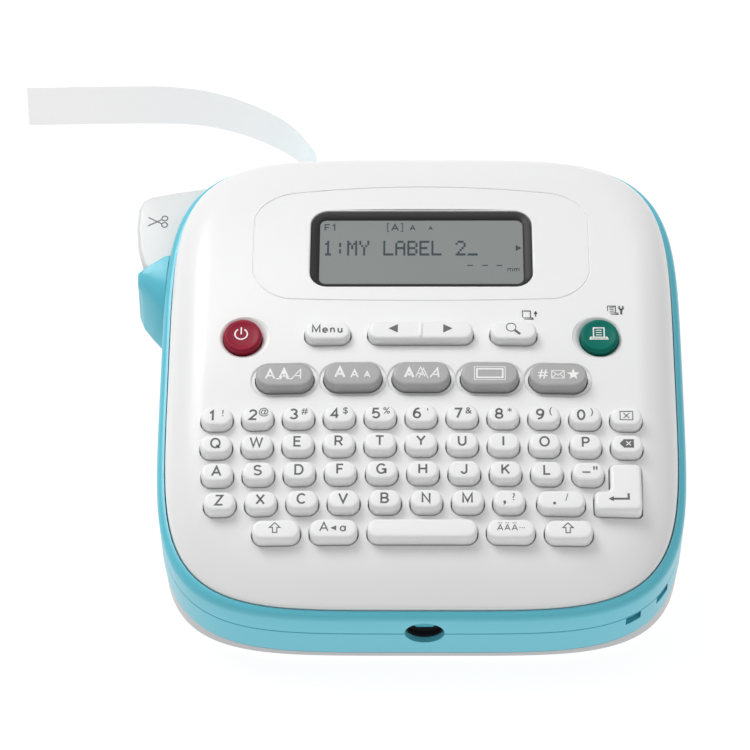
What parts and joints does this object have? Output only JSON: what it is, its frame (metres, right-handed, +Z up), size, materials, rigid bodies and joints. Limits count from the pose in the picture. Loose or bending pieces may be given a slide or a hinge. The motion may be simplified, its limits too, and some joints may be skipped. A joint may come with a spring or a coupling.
{
  "type": "label maker",
  "caption": "Desktop label maker: a domed keyboard cover with a display on a turquoise wedge-based case, a cutter lever at the left rear and a strip of label tape coming out behind.",
  "frame": {"origin": "on the table under the middle of the keyboard face, at the flat face of the base", "axes": "+X to the user's right, +Y away from the user, +Z up"},
  "size_m": [0.1943, 0.1815, 0.0683],
  "materials": {
    "cover_white": "fine satin moulded plastic",
    "base_white": "moulded plastic",
    "lever_white": "satin",
    "case_turquoise": "satin",
    "key_white": "satin, grey legends",
    "key_grey": "satin, white legends",
    "key_red": "satin",
    "key_green": "satin",
    "window_dark": "clear window with a dark printed frame",
    "lcd_grey": "reflective grey liquid crystal",
    "board_green": "solder mask",
    "keypad_rubber": "matt silicone",
    "jack_black": "matt",
    "battery": "printed sleeve",
    "steel": "plain",
    "rubber_black": "matt",
    "gear_white": "acetal",
    "head_ceramic": "ceramic",
    "cassette": "textured",
    "spool": "wound tape",
    "tape": "laminated film"
  },
  "bodies": {
    "case": {"top_cover": "cover_white", "case_band": "case_turquoise", "lower_case": "case_turquoise", "display_window": "window_dark", "lcd_module": "lcd_grey", "main_board": "board_green", "keypad_sheet": "keypad_rubber", "label_tape": "tape", "supply_tape": "tape", "tape_cassette": "cassette", "print_head": "head_ceramic", "feed_motor": "steel", "mechanism_chassis": "steel", "battery_1": "battery", "battery_2": "battery", "battery_3": "battery", "battery_4": "battery", "battery_5": "battery", "battery_6": "battery", "battery_contact_front": "steel", "battery_contact_rear": "steel", "dc_jack": "jack_black", "case_screw_left": "steel", "case_screw_right": "steel", "case_screw_front": "steel", "cutter_lever_pin": "steel", "cutter_return_spring": "steel"},
    "power_button": {"power_button": "key_red"},
    "print_button": {"print_button": "key_green"},
    "menu_key": {"menu_key": "key_white"},
    "search_key": {"search_key": "key_white"},
    "font_key": {"font_key": "key_grey"},
    "size_key": {"size_key": "key_grey"},
    "style_key": {"style_key": "key_grey"},
    "frame_key": {"frame_key": "key_grey"},
    "symbol_key": {"symbol_key": "key_grey"},
    "clear_key": {"clear_key": "key_white"},
    "backspace_key": {"backspace_key": "key_white"},
    "enter_key": {"enter_key": "key_white"},
    "shift_key_left": {"shift_key_left": "key_white"},
    "shift_key_right": {"shift_key_right": "key_white"},
    "caps_key": {"caps_key": "key_white"},
    "accent_key": {"accent_key": "key_white"},
    "space_bar": {"space_bar": "key_white"},
    "digit_key_row": {"digit_key_row": "key_white"},
    "top_letter_row": {"top_letter_row": "key_white"},
    "home_letter_row": {"home_letter_row": "key_white"},
    "bottom_letter_row": {"bottom_letter_row": "key_white"},
    "cursor_rocker": {"cursor_rocker": "key_white"},
    "cutter_lever": {"cutter_lever": "lever_white"},
    "cutter_blade": {"cutter_blade": "steel"},
    "back_cover": {"back_cover": "base_white", "foot_front": "rubber_black", "foot_rear": "rubber_black"},
    "motor_pinion": {"motor_pinion": "gear_white"},
    "idler_gear": {"idler_gear": "gear_white"},
    "platen": {"platen_roller": "rubber_black", "platen_gear": "gear_white"},
    "tape_spool": {"tape_spool": "spool"},
    "ribbon_spool": {"ribbon_spool": "spool"}
  },
  "joints": [
    {"name": "power_button_press", "type": "slide", "parent": "case", "child": "power_button", "axis": [0, 0.2756, -0.9613], "range_m": [0, 0.0008], "stiffness_N_per_m": 500},
    {"name": "print_button_press", "type": "slide", "parent": "case", "child": "print_button", "axis": [0, 0.2756, -0.9613], "range_m": [0, 0.0008], "stiffness_N_per_m": 500},
    {"name": "menu_key_press", "type": "slide", "parent": "case", "child": "menu_key", "axis": [0, 0.2756, -0.9613], "range_m": [0, 0.0008], "stiffness_N_per_m": 500},
    {"name": "search_key_press", "type": "slide", "parent": "case", "child": "search_key", "axis": [0, 0.2756, -0.9613], "range_m": [0, 0.0008], "stiffness_N_per_m": 500},
    {"name": "font_key_press", "type": "slide", "parent": "case", "child": "font_key", "axis": [0, 0.2756, -0.9613], "range_m": [0, 0.0008], "stiffness_N_per_m": 500},
    {"name": "size_key_press", "type": "slide", "parent": "case", "child": "size_key", "axis": [0, 0.2756, -0.9613], "range_m": [0, 0.0008], "stiffness_N_per_m": 500},
    {"name": "style_key_press", "type": "slide", "parent": "case", "child": "style_key", "axis": [0, 0.2756, -0.9613], "range_m": [0, 0.0008], "stiffness_N_per_m": 500},
    {"name": "frame_key_press", "type": "slide", "parent": "case", "child": "frame_key", "axis": [0, 0.2756, -0.9613], "range_m": [0, 0.0008], "stiffness_N_per_m": 500},
    {"name": "symbol_key_press", "type": "slide", "parent": "case", "child": "symbol_key", "axis": [0, 0.2756, -0.9613], "range_m": [0, 0.0008], "stiffness_N_per_m": 500},
    {"name": "clear_key_press", "type": "slide", "parent": "case", "child": "clear_key", "axis": [0, 0.2756, -0.9613], "range_m": [0, 0.0008], "stiffness_N_per_m": 500},
    {"name": "backspace_key_press", "type": "slide", "parent": "case", "child": "backspace_key", "axis": [0, 0.2756, -0.9613], "range_m": [0, 0.0008], "stiffness_N_per_m": 500},
    {"name": "enter_key_press", "type": "slide", "parent": "case", "child": "enter_key", "axis": [0, 0.2756, -0.9613], "range_m": [0, 0.0008], "stiffness_N_per_m": 500},
    {"name": "shift_key_left_press", "type": "slide", "parent": "case", "child": "shift_key_left", "axis": [0, 0.2756, -0.9613], "range_m": [0, 0.0008], "stiffness_N_per_m": 500},
    {"name": "shift_key_right_press", "type": "slide", "parent": "case", "child": "shift_key_right", "axis": [0, 0.2756, -0.9613], "range_m": [0, 0.0008], "stiffness_N_per_m": 500},
    {"name": "caps_key_press", "type": "slide", "parent": "case", "child": "caps_key", "axis": [0, 0.2756, -0.9613], "range_m": [0, 0.0008], "stiffness_N_per_m": 500},
    {"name": "accent_key_press", "type": "slide", "parent": "case", "child": "accent_key", "axis": [0, 0.2756, -0.9613], "range_m": [0, 0.0008], "stiffness_N_per_m": 500},
    {"name": "space_bar_press", "type": "slide", "parent": "case", "child": "space_bar", "axis": [0, 0.2756, -0.9613], "range_m": [0, 0.0008], "stiffness_N_per_m": 500},
    {"name": "digit_key_row_press", "type": "slide", "parent": "case", "child": "digit_key_row", "axis": [0, 0.2756, -0.9613], "range_m": [0, 0.0008], "stiffness_N_per_m": 500},
    {"name": "top_letter_row_press", "type": "slide", "parent": "case", "child": "top_letter_row", "axis": [0, 0.2756, -0.9613], "range_m": [0, 0.0008], "stiffness_N_per_m": 500},
    {"name": "home_letter_row_press", "type": "slide", "parent": "case", "child": "home_letter_row", "axis": [0, 0.2756, -0.9613], "range_m": [0, 0.0008], "stiffness_N_per_m": 500},
    {"name": "bottom_letter_row_press", "type": "slide", "parent": "case", "child": "bottom_letter_row", "axis": [0, 0.2756, -0.9613], "range_m": [0, 0.0008], "stiffness_N_per_m": 500},
    {"name": "cursor_rocker_tilt", "type": "hinge", "parent": "case", "child": "cursor_rocker", "pos_m": [-0.0002, -0.00017, 0.05608], "axis": [0, 0.9613, 0.2756], "range_deg": [-2.2, 2.2], "stiffness_Nm_per_rad": 0.3},
    {"name": "cutter_lever_press", "type": "hinge", "parent": "case", "child": "cutter_lever", "pos_m": [-0.0728, 0.03529, 0.04596], "axis": [-1, 0, 0], "range_deg": [0, 12], "stiffness_Nm_per_rad": 0.3, "springref_deg": -11.46},
    {"name": "cutter_blade_drop", "type": "slide", "parent": "case", "child": "cutter_blade", "axis": [0, 0.2756, -0.9613], "range_m": [0, 0.013]},
    {"name": "back_cover_open", "type": "hinge", "parent": "case", "child": "back_cover", "pos_m": [0, -0.07056, 0.00297], "axis": [-1, 0, 0], "range_deg": [0, 20]},
    {"name": "motor_turn", "type": "hinge", "parent": "case", "child": "motor_pinion", "pos_m": [-0.04827, 0.03355, 0.04442], "axis": [0, -0.2756, 0.9613], "continuous": true},
    {"name": "idler_turn", "type": "hinge", "parent": "case", "child": "idler_gear", "pos_m": [-0.04591, 0.04643, 0.04811], "axis": [0, -0.2756, 0.9613], "continuous": true},
    {"name": "platen_turn", "type": "hinge", "parent": "case", "child": "platen", "pos_m": [-0.035, 0.05768, 0.05134], "axis": [0, -0.2756, 0.9613], "continuous": true},
    {"name": "tape_spool_turn", "type": "hinge", "parent": "case", "child": "tape_spool", "pos_m": [0.0375, 0.03557, 0.045], "axis": [0, -0.2756, 0.9613], "continuous": true},
    {"name": "ribbon_spool_turn", "type": "hinge", "parent": "case", "child": "ribbon_spool", "pos_m": [0, 0.03172, 0.0439], "axis": [0, -0.2756, 0.9613], "continuous": true}
  ],
  "couplings": [
    {"joint": "platen_turn", "follows": "tape_spool_turn", "ratio": 3.75},
    {"joint": "idler_turn", "follows": "tape_spool_turn", "ratio": -2.5},
    {"joint": "motor_turn", "follows": "tape_spool_turn", "ratio": 6},
    {"joint": "ribbon_spool_turn", "follows": "tape_spool_turn", "ratio": 1.6667},
    {"joint": "cutter_blade_drop", "follows": "cutter_lever_press", "m_per_rad": 0.059683}
  ]
}
